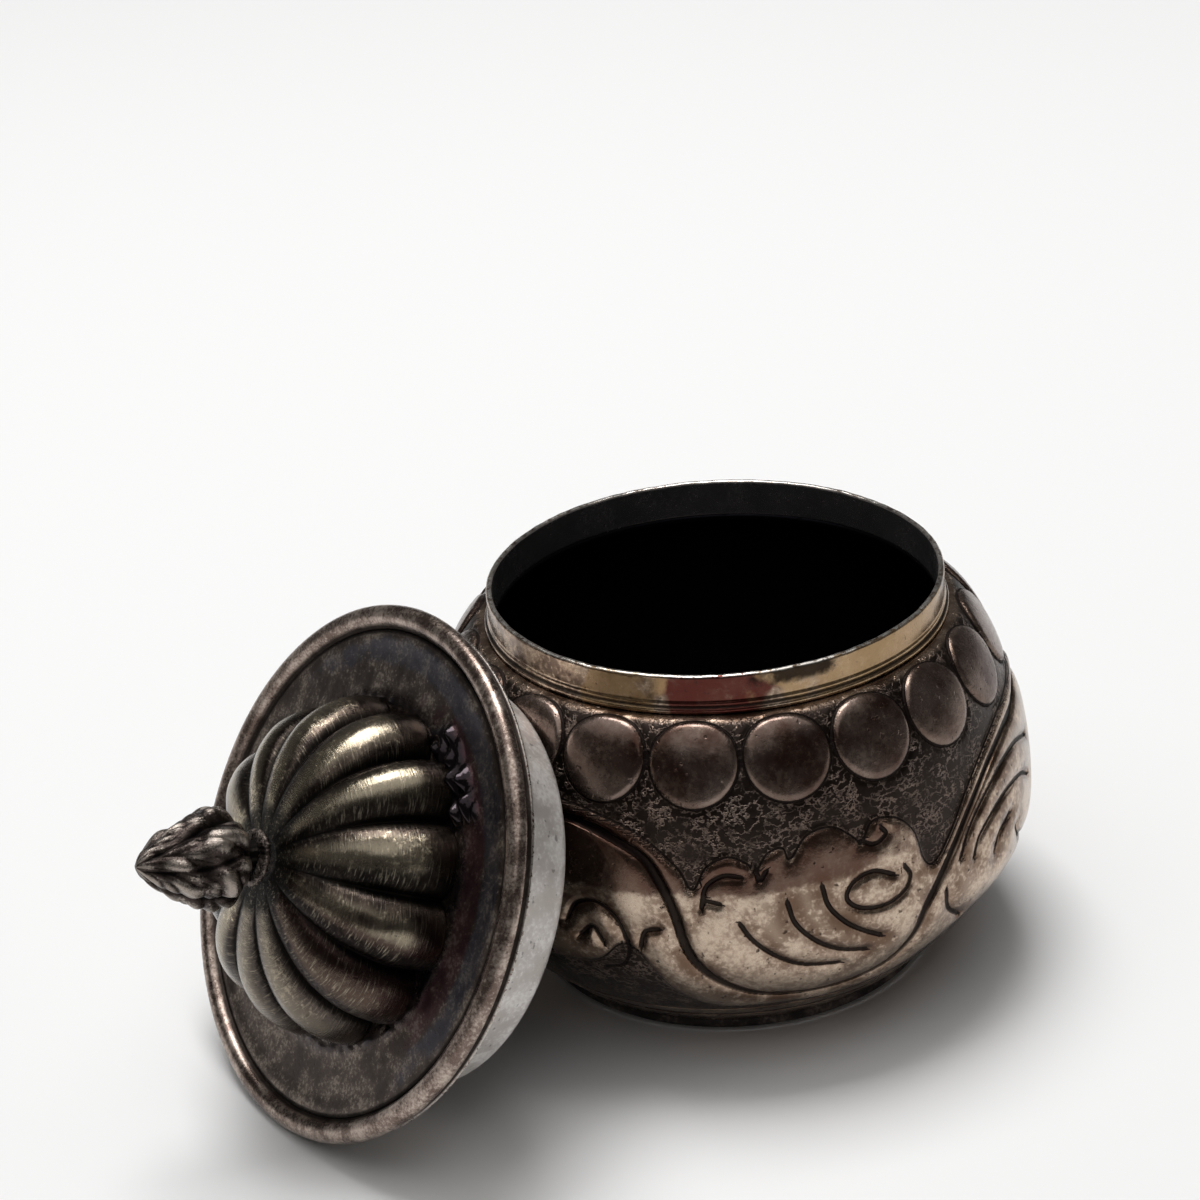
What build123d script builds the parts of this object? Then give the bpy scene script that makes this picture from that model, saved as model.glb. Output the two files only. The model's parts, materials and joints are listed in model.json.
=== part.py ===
# Incense box of thin sheet silver: a round-bellied pot, and its plug lid set down beside it.
# The lid lies off the pot: its rim stands on the table and its flange leans on the pot's shoulder.
# Frame: millimetres, +Z up, origin at the centre of the pot's underside, the lid towards -X.
import os
from math import cos, pi, radians, sin, sqrt

from build123d import *

os.makedirs("parts", exist_ok=True)

# Pot
pot_height = 40.8  # table to the neck's edge
sheet = 0.7  # wall of the bowl and of the neck
base_thickness = 1.2
base_inset = 0.4  # how far the base's rounded edge stands in from the bowl
foot_radius = 20.9  # outside of the bowl where it stands on the base
belly_radius = 30.6  # outside of the punched ground at its widest
belly_height = 17.0  # height of the widest place
base_slope = 45  # degrees from the table to the wall, at the base
flare_length = 7.5  # length of the straight-looking pull above the base
lower_upright_length = 6.5  # how far the wall stays upright below the belly
upper_upright_length = 10.0  # and above it
shoulder_run = 3.0  # how far the wall stays level before it meets the neck
neck_radius = 23.0  # outside of the neck
neck_height = 4.0
bead_height = 0.9  # small bead round the foot of the neck
bead_out = 0.4

# Raised discs round the shoulder
disc_count = 19
disc_radius = 4.15
disc_rise = 0.6
disc_place = 0.63  # share of the upper curve, from the belly to the neck
disc_turn = 1.5  # degrees from +X to the first disc

# Running wave round the belly: (degrees along one wave, share of the bowl's height)
wave_rise = 0.7
wave_count = 3
wave_turn = -109.8  # degrees from +X to a trough
wave_top = (
    (-60, 0.781), (-42, 0.775), (-26, 0.657), (-21.5, 0.601), (-10, 0.674),
    (4, 0.708), (17, 0.691), (23, 0.534), (35, 0.663), (48, 0.758),
)
wave_foot = (
    (-60, 0.315), (-38, 0.382), (-27, 0.239), (-14, 0.146), (8, 0.146), (27, 0.225), (44, 0.298),
)

# Lid, drawn about its own axis: w = 0 is the plane of the rim's widest place
skirt_clearance = 0.4  # room between the neck and the rim's skirt, which drops outside it
plate_thickness = 0.8
rim_width = 2.4
rim_roll = 1.25  # top of the rounded rim above the plane w = 0
rim_drop = 1.5  # and its lower edge below it
rim_tuck = 0.5  # how far the lower edge stands in from the widest place
flange_length = 9.1
flange_wall = 0.7
flange_taper = 1.8  # how much the flange's radius shrinks down its length
flange_clearance = 0.5  # room between the flange and the neck, where the lid plugs in

# Lobed dome
lobe_count = 13
lobe_share = 0.14  # how far a lobe's crown stands out, as a share of the ring's radius
lobe_turn = 4.5  # degrees from the way up the lid's slope to a valley
dome_radius = 14.6  # to the valleys between the lobes
dome_height = 10.9
dome_sheet = 0.7
dome_crown = 3.4  # radius of the small flat where the finial sits
dome_levels = (0.0, 0.16, 0.38, 0.62, 0.84, 1.0)  # heights of the rings that the lobes follow

# Finial
calyx_radius = 3.1
calyx_height = 1.1
stem_radius = 1.5
stem_length = 3.0
tang_radius = 0.9
bud_radius = 4.3
bud_length = 10.6
bud_lean = 13  # degrees that the bud is knocked over, down the lid's slope
bud_lobes = 6
leaf_share = 0.14  # how far a leaf's ridge stands out, as a share of the radius
washer_radius = 2.4
washer_thickness = 0.5
head_height = 0.6  # the tang's peened head inside the dome

# How the lid stands beside the pot
lid_lean = 61.8  # degrees from upright to the lid's axis
lean_gap = 0.05  # between the flange's edge and the raised discs
table_gap = 0.02  # between the rim and the table

neck_bore = neck_radius - sheet
shoulder_height = pot_height - neck_height
lip_radius = neck_radius + bead_out
plate_radius = neck_radius + skirt_clearance
rim_radius = plate_radius + rim_width


def bowl_curves(inset):
    """The lower and upper wall curves in (radius, height), moved inwards by inset."""
    foot_inset = inset / sin(radians(base_slope))
    foot = (foot_radius - foot_inset, base_thickness)
    pull = (
        foot[0] + flare_length * cos(radians(base_slope)),
        foot[1] + flare_length * sin(radians(base_slope)),
    )
    belly = belly_radius - inset
    top = shoulder_height - inset
    lower = Bezier(
        foot, pull, (belly, belly_height - lower_upright_length), (belly, belly_height), mode=Mode.PRIVATE
    )
    upper = Bezier(
        (belly, belly_height),
        (belly, belly_height + upper_upright_length - inset),
        (lip_radius + shoulder_run - inset, top),
        (lip_radius, top),
        mode=Mode.PRIVATE,
    )
    return lower, upper


def reach_at(height, curves):
    """How far the pot reaches out at a height: the bowl's curve, then the bead, then the neck."""
    if height > shoulder_height:
        return lip_radius if height < shoulder_height + bead_height else neck_radius
    curve = curves[0] if height < belly_height else curves[1]
    low, high = 0.0, 1.0
    for _ in range(30):
        middle = (low + high) / 2
        if (curve @ middle).Y < height:
            low = middle
        else:
            high = middle
    return (curve @ low).X


# Bowl: one raised shell with a flat lip for the neck, a ring of raised discs and a running wave
wall_outside = bowl_curves(0)
wall_inside = bowl_curves(sheet)
disc_skin = bowl_curves(-disc_rise)

disc_point = wall_outside[1] @ disc_place
disc_tangent = wall_outside[1] % disc_place
disc_pitch = 360 / disc_count

with BuildPart() as disc_posts:
    for number in range(disc_count):
        turn = disc_turn + number * disc_pitch
        spoke = Vector(1, 0, 0).rotate(Axis.Z, turn)
        outward = spoke * disc_tangent.Y - Vector(0, 0, 1) * disc_tangent.X
        centre = spoke * disc_point.X + Vector(0, 0, 1) * disc_point.Y
        with BuildSketch(Plane(origin=centre, z_dir=outward)):
            Circle(disc_radius)
        extrude(amount=2 * disc_rise + sheet / 2, both=True)

with BuildPart() as disc_band:
    with BuildSketch(Plane.XZ):
        with BuildLine():
            add(disc_skin[1])
            Line(disc_skin[1] @ 1, wall_outside[1] @ 1)
            add(wall_outside[1])
            Line(wall_outside[1] @ 0, disc_skin[1] @ 0)
        make_face()
    revolve(axis=Axis.Z)
    add(disc_posts.part, mode=Mode.INTERSECT)

bowl_rise = shoulder_height - base_thickness
wave_span = 360 / wave_count


def wave_line(points, reach):
    """One closed wavy line round the pot, at a given distance from its axis."""
    spots = []
    for number in range(wave_count):
        for degrees, share in points:
            turn = radians(wave_turn + number * wave_span + degrees * wave_span / 120)
            spots.append((reach * cos(turn), reach * sin(turn), base_thickness + share * bowl_rise))
    return Spline(*spots, periodic=True, mode=Mode.PRIVATE)


def below_wave(points):
    """Everything under a wavy sheet that runs out from near the axis past the belly."""
    sheet_face = Face.make_surface_from_curves(
        wave_line(points, neck_radius / 2), wave_line(points, belly_radius * 1.3)
    )
    return extrude(sheet_face, amount=pot_height, dir=(0, 0, -1), mode=Mode.PRIVATE)


wave_skin = bowl_curves(-wave_rise)

with BuildPart() as wave_band:
    with BuildSketch(Plane.XZ):
        with BuildLine():
            add(wave_skin[0])
            add(wave_skin[1])
            Line(wave_skin[1] @ 1, wall_outside[1] @ 1)
            add(wall_outside[1])
            add(wall_outside[0])
            Line(wall_outside[0] @ 0, wave_skin[0] @ 0)
        make_face()
    revolve(axis=Axis.Z)
    add(below_wave(wave_top), mode=Mode.INTERSECT)
    add(below_wave(wave_foot), mode=Mode.SUBTRACT)

with BuildPart() as pot_bowl:
    with BuildSketch(Plane.XZ):
        with BuildLine():
            add(wall_outside[0])
            add(wall_outside[1])
            Polyline(
                wall_outside[1] @ 1,
                (neck_bore, shoulder_height),
                (neck_bore, shoulder_height - sheet),
                wall_inside[1] @ 1,
            )
            add(wall_inside[1])
            add(wall_inside[0])
            Line(wall_inside[0] @ 0, wall_outside[0] @ 0)
        make_face()
    revolve(axis=Axis.Z)
    add(disc_band.part)
    add(wave_band.part)
pot_bowl.part.label = "pot_bowl"
export_step(pot_bowl.part, "parts/pot_bowl.step")

# Neck: a plain upright band with a small bead round its foot, soldered to the bowl's lip
with BuildPart() as neck_collar:
    with BuildSketch(Plane.XZ):
        with BuildLine():
            Polyline(
                (lip_radius, shoulder_height),
                (neck_bore, shoulder_height),
                (neck_bore, pot_height),
                (neck_radius, pot_height),
                (neck_radius, shoulder_height + bead_height),
            )
            ThreePointArc(
                (neck_radius, shoulder_height + bead_height),
                (lip_radius, shoulder_height + bead_height / 2),
                (lip_radius, shoulder_height),
            )
        make_face()
    revolve(axis=Axis.Z)
neck_collar.part.label = "neck_collar"
export_step(neck_collar.part, "parts/neck_collar.step")

# Base: a flat disc with a rounded edge, soldered under the bowl
with BuildPart() as base_plate:
    Cylinder(
        foot_radius - base_inset,
        base_thickness,
        align=(Align.CENTER, Align.CENTER, Align.MIN),
    )
    fillet(base_plate.edges().filter_by(GeomType.CIRCLE), base_thickness * 0.4)
base_plate.part.label = "base_plate"
export_step(base_plate.part, "parts/base_plate.step")

# Where the lid lies: its axis leans over, and its slope runs up towards the pot
lid_up = Vector(-sin(radians(lid_lean)), 0, cos(radians(lid_lean)))
lid_slope = Vector(cos(radians(lid_lean)), 0, sin(radians(lid_lean)))
flange_top = neck_bore - flange_clearance
flange_foot = flange_top - flange_taper
flange_end = -plate_thickness / 2 - flange_length
rim_corners = ((rim_radius, 0), (rim_radius - rim_tuck, -rim_drop))
lid_rise = table_gap + max(r * lid_slope.Z - w * lid_up.Z for r, w in rim_corners)


def lid_reach(angle):
    """How far along +X the flange's edge may not pass the pot's wall, at one angle round it."""
    up_slope = flange_foot * cos(angle)
    across = flange_foot * sin(angle)
    height = lid_rise + up_slope * lid_slope.Z + flange_end * lid_up.Z
    wall = reach_at(height, disc_skin) if 0 < height < pot_height else 0
    offset = up_slope * lid_slope.X + flange_end * lid_up.X
    return offset + sqrt(max(wall**2 - across**2, 0))


lid_shift = max(lid_reach(radians(angle)) for angle in range(90)) + lean_gap
lid_centre = Vector(-lid_shift, 0, lid_rise)
lid_axis = Axis(lid_centre, lid_up)
lid_section = Plane(origin=lid_centre, x_dir=lid_slope, z_dir=lid_slope.cross(lid_up))


def lid_ring(w, centre=lid_centre, up=lid_up, across=lid_slope):
    """A plane square to the lid's axis, at height w along it."""
    return Plane(origin=centre + up * w, x_dir=across, z_dir=up)


plate_top = plate_thickness / 2
dome_bore = dome_radius - 2 * dome_sheet

# Plate: the flat field of the lid, open under the dome
with BuildPart() as lid_plate:
    with BuildSketch(lid_ring(-plate_thickness / 2)):
        Circle(plate_radius)
        Circle(dome_bore, mode=Mode.SUBTRACT)
    extrude(amount=plate_thickness)
lid_plate.part.label = "lid_plate"
export_step(lid_plate.part, "parts/lid_plate.step")

# Rim: a rounded moulding round the plate, whose skirt drops past the neck's edge
with BuildPart() as lid_rim:
    with BuildSketch(lid_section):
        with BuildLine():
            Polyline(
                (plate_radius, plate_top),
                (plate_radius, -rim_drop),
                (rim_radius - rim_tuck, -rim_drop),
                (rim_radius, 0),
            )
            Bezier(
                (rim_radius, 0),
                (rim_radius, rim_roll),
                (rim_radius - rim_roll / 2, rim_roll),
                ((rim_radius + plate_radius) / 2, rim_roll),
            )
            Bezier(
                ((rim_radius + plate_radius) / 2, rim_roll),
                (plate_radius + rim_roll / 2, rim_roll),
                (plate_radius + plate_top / 2, (rim_roll + plate_top) / 2),
                (plate_radius, plate_top),
            )
        make_face()
    revolve(axis=lid_axis)
lid_rim.part.label = "lid_rim"
export_step(lid_rim.part, "parts/lid_rim.step")

# Flange: the tapered sleeve that plugs into the neck
with BuildPart() as lid_flange:
    with BuildSketch(lid_section):
        Polygon(
            (flange_top, -plate_thickness / 2),
            (flange_foot, flange_end),
            (flange_foot - flange_wall, flange_end),
            (flange_top - flange_wall, -plate_thickness / 2),
            align=None,
        )
    revolve(axis=lid_axis)
lid_flange.part.label = "lid_flange"
export_step(lid_flange.part, "parts/lid_flange.step")


def lobed_ring(plane, radius, depth, count):
    """A closed ring of outward bulges: valleys on the radius, crowns outside it by depth."""
    step = 2 * pi / count
    with BuildSketch(plane) as ring:
        with BuildLine():
            for number in range(count):
                angles = [number * step, (number + 0.5) * step, (number + 1) * step]
                radii = [radius, radius * (1 + depth), radius]
                ThreePointArc(*[(r * cos(a), r * sin(a)) for r, a in zip(radii, angles)])
        make_face()
    return ring.sketch


def dome_ring_radius(share, inset):
    """The dome's radius at a share of its height: a quarter ellipse down from the crown's flat."""
    swell = dome_radius - dome_crown
    return dome_crown + swell * sqrt(1 - share**2) - inset


# Dome: the lobed crown of the lid, raised thin and lofted through scalloped rings
lobe_across = lid_slope.rotate(Axis((0, 0, 0), lid_up), lobe_turn)

with BuildPart() as lid_dome:
    for inset in (0, dome_sheet):
        levels = [plate_top + share * (dome_height - inset) for share in dome_levels]
        rings = [
            lobed_ring(
                lid_ring(w, across=lobe_across), dome_ring_radius(share, inset), lobe_share, lobe_count
            )
            for share, w in zip(dome_levels, levels)
        ]
        loft(rings, mode=Mode.ADD if inset == 0 else Mode.SUBTRACT)
    with BuildSketch(lid_ring(plate_top + dome_height)):
        Circle(tang_radius)
    extrude(amount=-2 * dome_sheet, mode=Mode.SUBTRACT)
lid_dome.part.label = "lid_dome"
export_step(lid_dome.part, "parts/lid_dome.step")

# Calyx: the rough ring between the dome and the finial
calyx_foot = plate_top + dome_height
with BuildPart() as finial_calyx:
    with BuildSketch(lid_ring(calyx_foot)):
        Circle(calyx_radius)
        Circle(tang_radius, mode=Mode.SUBTRACT)
    extrude(amount=calyx_height)
    top_edge = finial_calyx.edges().filter_by(GeomType.CIRCLE).sort_by(SortBy.RADIUS)[-2:]
    fillet(top_edge, calyx_height * 0.4)
finial_calyx.part.label = "finial_calyx"
export_step(finial_calyx.part, "parts/finial_calyx.step")

# Finial: tang, stem and a pointed leafy bud, cast in one piece and knocked over a little
stem_foot = calyx_foot + calyx_height
tang_foot = calyx_foot - dome_sheet - washer_thickness
lean = radians(bud_lean)
bud_up = lid_up * cos(lean) - lid_slope * sin(lean)
bud_across = lid_slope * cos(lean) + lid_up * sin(lean)
bud_foot = lid_centre + lid_up * (stem_foot + stem_length / 2)
bud_outline = ((0.0, 0.42), (0.14, 0.86), (0.34, 1.0), (0.58, 0.78), (0.8, 0.4), (1.0, 0.07))

with BuildPart() as finial_bud:
    with BuildSketch(lid_ring(tang_foot)):
        Circle(tang_radius)
    extrude(amount=stem_foot - tang_foot)
    with BuildSketch(lid_ring(stem_foot)):
        Circle(stem_radius)
    extrude(amount=stem_length)
    with BuildSketch(lid_ring(tang_foot)):
        Circle(tang_radius + head_height)
    extrude(amount=-head_height)
    loft(
        [
            lobed_ring(
                lid_ring(share * bud_length, bud_foot, bud_up, bud_across),
                width * bud_radius,
                leaf_share,
                bud_lobes,
            )
            for share, width in bud_outline
        ]
    )
finial_bud.part.label = "finial_bud"
export_step(finial_bud.part, "parts/finial_bud.step")

# Washer: the small disc inside the dome that the tang is peened over
with BuildPart() as finial_washer:
    with BuildSketch(lid_ring(calyx_foot - dome_sheet)):
        Circle(washer_radius)
        Circle(tang_radius, mode=Mode.SUBTRACT)
    extrude(amount=-washer_thickness)
finial_washer.part.label = "finial_washer"
export_step(finial_washer.part, "parts/finial_washer.step")
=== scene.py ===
# %% [markdown]
# # An incense box of thin sheet silver
# The object is a small round-bellied pot and its plug lid. The lid has been taken off and stands on its
# rim, with its flange leaning on the pot's shoulder. All of it was made by hand, so nothing is quite true.
# The pot carries chased relief: a ring of discs, a running wave with leaf fields, and a punched ground.
# Each visible piece is worked out here as a surface, and it stands where the frame's own piece stands.

import json
from math import atan2, cos, pi, radians, sin

import bmesh
import bpy
import numpy as np
from mathutils import Matrix, Vector


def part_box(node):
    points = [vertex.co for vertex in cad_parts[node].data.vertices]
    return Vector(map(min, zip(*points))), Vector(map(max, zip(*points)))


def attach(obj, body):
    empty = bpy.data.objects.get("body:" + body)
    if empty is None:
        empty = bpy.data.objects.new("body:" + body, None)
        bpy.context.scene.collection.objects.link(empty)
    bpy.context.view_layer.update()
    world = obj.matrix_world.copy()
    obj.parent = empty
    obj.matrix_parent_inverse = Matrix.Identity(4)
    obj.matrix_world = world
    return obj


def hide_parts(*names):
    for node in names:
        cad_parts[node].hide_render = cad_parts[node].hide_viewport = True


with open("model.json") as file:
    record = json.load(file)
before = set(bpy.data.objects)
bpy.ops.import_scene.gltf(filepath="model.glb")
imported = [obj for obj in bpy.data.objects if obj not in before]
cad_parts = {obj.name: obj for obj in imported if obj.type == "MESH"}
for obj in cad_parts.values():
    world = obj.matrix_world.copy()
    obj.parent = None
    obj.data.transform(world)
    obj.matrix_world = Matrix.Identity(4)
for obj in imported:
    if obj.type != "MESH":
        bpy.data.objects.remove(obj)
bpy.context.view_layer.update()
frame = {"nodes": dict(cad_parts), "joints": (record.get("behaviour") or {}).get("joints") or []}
MM = 0.001

# %% [markdown]
# ## Sizes from the frame
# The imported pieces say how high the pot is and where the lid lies. Typing those sizes would be shorter, but
# the surfaces would leave the solids as soon as one changes. The lid has its own upright, the way in which
# it is lifted off, and its own slope, which runs up towards the pot.

# %% Sizes
bowl_high = np.array(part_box("pot_bowl")[1])
neck_low, neck_high = (np.array(corner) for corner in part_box("neck_collar"))
base_high = np.array(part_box("base_plate")[1])
plate_low, plate_high = (np.array(corner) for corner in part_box("lid_plate"))
lid_centre = (plate_low + plate_high) / 2
lid_up = np.array(frame["joints"][0]["axis"], dtype=float)
lid_up /= np.linalg.norm(lid_up)
lid_slope = np.array([lid_up[2], 0.0, -lid_up[0]])
lid_across = np.cross(lid_up, lid_slope)
pot_height = neck_high[2]
print("pot height", round(pot_height, 4), "belly radius", round(bowl_high[0], 4))

# %% [markdown]
# ## Rings into a mesh
# Almost every piece is a set of rings, one above the other. A modifier could spin them from a profile, but
# then no point could be moved by itself, and hand-made silver needs that. So a piece is one array, rows by
# columns by three. The columns always close on themselves. The rows close too when the section is a loop,
# as on a rim, and otherwise an end row may shrink to one point, as on a bud.

# %% Rings into a mesh
def new_piece(name, rings, closed=True, marks=None):
    """A mesh from rings (rows, columns, 3). closed joins the ends; marks are values for every point."""
    rows, columns = rings.shape[:2]
    index = np.arange(rows * columns).reshape(rows, columns)
    lower = index if closed else index[:-1]
    upper = np.roll(index, -1, axis=0) if closed else index[1:]
    faces = np.stack([lower, np.roll(lower, -1, axis=1), np.roll(upper, -1, axis=1), upper], axis=-1)
    mesh = bpy.data.meshes.new(name)
    mesh.from_pydata(rings.reshape(-1, 3).tolist(), [], faces.reshape(-1, 4).tolist())
    for label, values in (marks or {}).items():
        mark = mesh.attributes.new(label, "FLOAT", "POINT")
        values = np.broadcast_to(values, (rows, columns)).astype(np.float32)
        mark.data.foreach_set("value", values.ravel())
    shape = bmesh.new()
    shape.from_mesh(mesh)
    if not closed:
        bmesh.ops.remove_doubles(shape, verts=shape.verts, dist=1e-7)
    bmesh.ops.recalc_face_normals(shape, faces=shape.faces)
    shape.to_mesh(mesh)
    shape.free()
    mesh.polygons.foreach_set("use_smooth", np.ones(len(mesh.polygons), dtype=bool))
    piece = bpy.data.objects.new(name, mesh)
    bpy.context.scene.collection.objects.link(piece)
    print(name, "faces:", len(mesh.polygons))
    return piece


# %% [markdown]
# ## Curves
# A silversmith's section is a few easy curves, and a cubic with two pulls draws each of them. `even`
# spreads its points along the length, so that the faces come out alike.

# %% Curves
def bezier(points, steps):
    """A cubic curve through its first and last point, pulled by the two between, as steps points."""
    a, b, c, d = np.array(points, dtype=float)
    t = np.linspace(0, 1, steps)[:, None]
    return (1 - t) ** 3 * a + 3 * (1 - t) ** 2 * t * b + 3 * (1 - t) * t**2 * c + t**3 * d


def lengths_along(line):
    """The distance along a line to each of its points: the running sum of its steps."""
    return np.concatenate([[0], np.cumsum(np.linalg.norm(np.diff(line, axis=0), axis=1))])


def even(points, count, closed=False):
    """The same line with its points spread evenly along its length."""
    line = np.vstack([points, points[:1]]) if closed else np.asarray(points, dtype=float)
    run = lengths_along(line)
    at = np.linspace(0, run[-1], count + 1)[:-1] if closed else np.linspace(0, run[-1], count)
    return np.stack([np.interp(at, run, line[:, axis]) for axis in range(line.shape[1])], axis=-1)


# %% [markdown]
# ## Unevenness and soft borders
# Hammer and file leave slow waves in the metal. Noise would do as well, but sine waves meet themselves
# after a full turn without a seam. Their turns and starts come from a fixed seed.

# %% Unevenness and soft borders
def smooth_step(value, low, high):
    """0 below low, 1 above high, and between them t * t * (3 - 2 t), where t is the share of the way."""
    t = np.clip((value - low) / (high - low), 0, 1)
    return t * t * (3 - 2 * t)


def band(value, middle, low, high):
    """1 up to low away from the middle, 0 from high away on."""
    return 1 - smooth_step(np.abs(value - middle), low, high)


def notch(far, width):
    """1 on a line, and less with the distance from it, as a bell curve of that width."""
    return np.exp(-((far / width) ** 2))


def ripple(angles, heights, seed, count=7, finest=9):
    """A gentle unevenness from -1 to 1: the mean of count sine waves, each with whole turns."""
    draw = np.random.default_rng(seed)
    total = np.zeros(np.broadcast(angles, heights).shape)
    for _ in range(count):
        turns = draw.integers(1, finest)
        total += np.sin(turns * angles + draw.uniform(-2, 2) * heights + draw.uniform(0, 2 * pi)) / count
    return total


# %% [markdown]
# ## Two axes
# The pot stands upright at the origin, and the lid leans. Both are turned forms, so each has one function
# that puts a radius, an angle and a height into space.

# %% Round the pot and round the lid
def on_pot(radius, angle, height):
    """Points round the pot's upright axis: radius times cosine and sine of the angle, at that height."""
    return np.stack(np.broadcast_arrays(radius * np.cos(angle), radius * np.sin(angle), height), axis=-1)


def on_lid(radius, angle, height):
    """Points round the lid's own axis: angle 0 looks up the slope, height runs along the way it lifts."""
    up_slope = lid_slope * (radius * np.cos(angle))[..., None]
    side = up_slope + lid_across * (radius * np.sin(angle))[..., None]
    return lid_centre + side + lid_up * np.broadcast_to(height, np.shape(side)[:-1])[..., None]


def full_turn(columns):
    """The angles of one turn as a row, which ends just before it meets its start."""
    return np.linspace(0, 2 * pi, columns, endpoint=False)[None, :]


# %% [markdown]
# ## The bowl's wall
# The bowl is one sheet, raised on a stake from a narrow foot to a round belly and drawn in again to the
# neck. Its outside is one curve turned round the axis, and the chasing is a height added along that
# surface.

# %% The bowl's wall
wave_rise, wall_sheet = 0.7, 0.7
foot_radius, base_slope, flare_length = 20.9, radians(45), 7.5
belly_height, lower_upright, upper_upright, shoulder_run = 17.0, 6.5, 10.0, 3.0
ground_radius, lip_radius = bowl_high[0] / MM - wave_rise, neck_high[0] / MM
shoulder, base_top = neck_low[2] / MM, base_high[2] / MM
bowl_rows, wave_columns, wave_count = 140, 208, 3


def bowl_line(steps):
    """The bowl's ground as (radius, height) in millimetres: two cubics that meet at the belly."""
    foot = np.array([foot_radius, base_top])
    pull = foot + flare_length * np.array([cos(base_slope), sin(base_slope)])
    belly = (ground_radius, belly_height)
    lower = bezier([foot, pull, (ground_radius, belly_height - lower_upright), belly], steps)
    over = (ground_radius, belly_height + upper_upright)
    upper = bezier([belly, over, (lip_radius + shoulder_run, shoulder), (lip_radius, shoulder)], steps)
    return np.vstack([lower, upper[1:]])


outline = even(bowl_line(400), bowl_rows)
along = lengths_along(outline)
print("from base to neck along the wall:", round(along[-1], 1), "mm")

# %% [markdown]
# The wall is worked as if it were unrolled: across is the angle, up is the distance along it.

# %% The unrolled wall
def sideways(line):
    """Unit steps out of a (radius, height) line, square to it: its own direction turned a quarter."""
    step = np.gradient(line, axis=0)
    step /= np.linalg.norm(step, axis=1)[:, None]
    return np.stack([step[:, 1], -step[:, 0]], axis=-1)


def up_the_wall(height):
    """Distance along the wall from the base, for a height in millimetres."""
    return np.interp(height, outline[:, 1], along)


# %% [markdown]
# ## The chased lines of one wave
# The wave goes round three times, and one of the three is drawn here as lines of (degrees, millimetres
# above the table), with 0 degrees at its trough. An image would be quicker to draw, but lines stay crisp at
# any size. The two edges bound the raised field, and the groove runs inside it.

# %% The wave's edges and its groove
wave_turn = -109.8
top_edge = [
    (-60, 29.0), (-50, 29.2), (-42, 28.8), (-32, 27.2), (-25, 24.4), (-22.6, 22.2), (-21.4, 22.4),
    (-19.5, 24.3), (-15.5, 25.2), (-12, 24.4), (-10.8, 23.6), (-8.5, 25.2), (-5.6, 25.6), (-4.4, 24.4),
    (-1, 26.4), (4, 26.7), (8, 25.2), (9.2, 24.4), (12, 26.2), (17, 25.8), (20.5, 23.8), (22, 20.6),
    (24.5, 19.8), (29, 21.8), (35, 24.8), (43, 27.2), (52, 28.6), (60, 29.0)]
low_edge = [
    (-60, 12.4), (-50, 12.2), (-41, 13.2), (-36, 15.6), (-33, 15.2), (-30, 12.6), (-27, 9.7),
    (-23, 7.6), (-18, 6.6), (-10, 6.4), (0, 6.2), (10, 6.4), (20, 7.4), (27, 9.2), (34, 10.8),
    (45, 11.8), (60, 12.4)]
wave_groove = [
    (-60, 27.2), (-50, 27.8), (-42, 27.4), (-32, 25.4), (-28, 22.8), (-25.4, 19.5), (-24, 16.4),
    (-22, 13.9), (-18, 11.4), (-12, 9.3), (-5, 8.4), (3, 8.2), (10, 8.7), (16, 10.1), (20, 12.6),
    (22, 15.4), (25, 17.6), (29, 20.1), (35, 23.0), (43, 25.6), (52, 26.9), (60, 27.2)]

# %% [markdown]
# The leaf fields are filled with short strokes of the chasing tool: veins, curls and the hooks at the
# leaves' tips.

# %% The strokes
strokes = [
    [(-14, 18.4), (-12, 16.6), (-8, 14.5), (-3, 12.9), (4, 12.1)],
    [(-5.5, 20.2), (-4.2, 17.8), (-0.5, 15.5), (4, 13.9), (9, 13.0)],
    [(1, 21.2), (2, 19.0), (5, 16.9), (8.5, 15.4), (12, 14.2)],
    [(15, 20.4), (11, 21.4), (7, 20.9), (5.4, 19.4), (8, 18.0), (13, 17.5), (17, 18.2), (18.6, 19.6),
     (17.5, 20.8)],
    [(-20.6, 20.2), (-19.6, 22.4), (-16.5, 23.4), (-13.5, 23.2)],
    [(-20.0, 21.0), (-17.4, 20.6)],
    [(-10.6, 23.8), (-10.2, 22.6), (-8.8, 23.6)],
    [(9.4, 24.6), (12, 24.0), (14.4, 24.6), (13.6, 25.4)],
    [(27, 16.2), (28, 13.8), (32, 11.9)],
    [(35, 17.8), (37, 19.5), (43, 20.9), (50, 21.4), (58, 20.6), (65, 18.6)],
    [(31, 18.6), (34, 21.0), (40, 23.0), (49, 24.4), (58, 24.2), (68, 22.2)],
    [(42, 16.6), (44, 18.0), (49, 18.8)],
    [(52, 16.6), (55, 14.6), (62, 13.0), (69, 12.8)],
    [(74, 17.4), (76, 19.4), (80, 19.9), (84, 18.4), (85.6, 15.4), (84, 13.0), (80, 12.2)],
    [(76.5, 16.0), (79, 17.2), (81, 15.6)],
    [(88, 15.6), (89, 17.4), (91.5, 17.8)],
]
print("strokes in one wave:", len(strokes))

# %% [markdown]
# ## How far a point lies from the lines
# Sheet that is pushed out between chased lines swells like a cushion, so its height follows from how far
# each point lies from the nearest line. The lines are rounded first, and then the distance to each of their
# short steps is worked out for all points at once.

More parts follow.
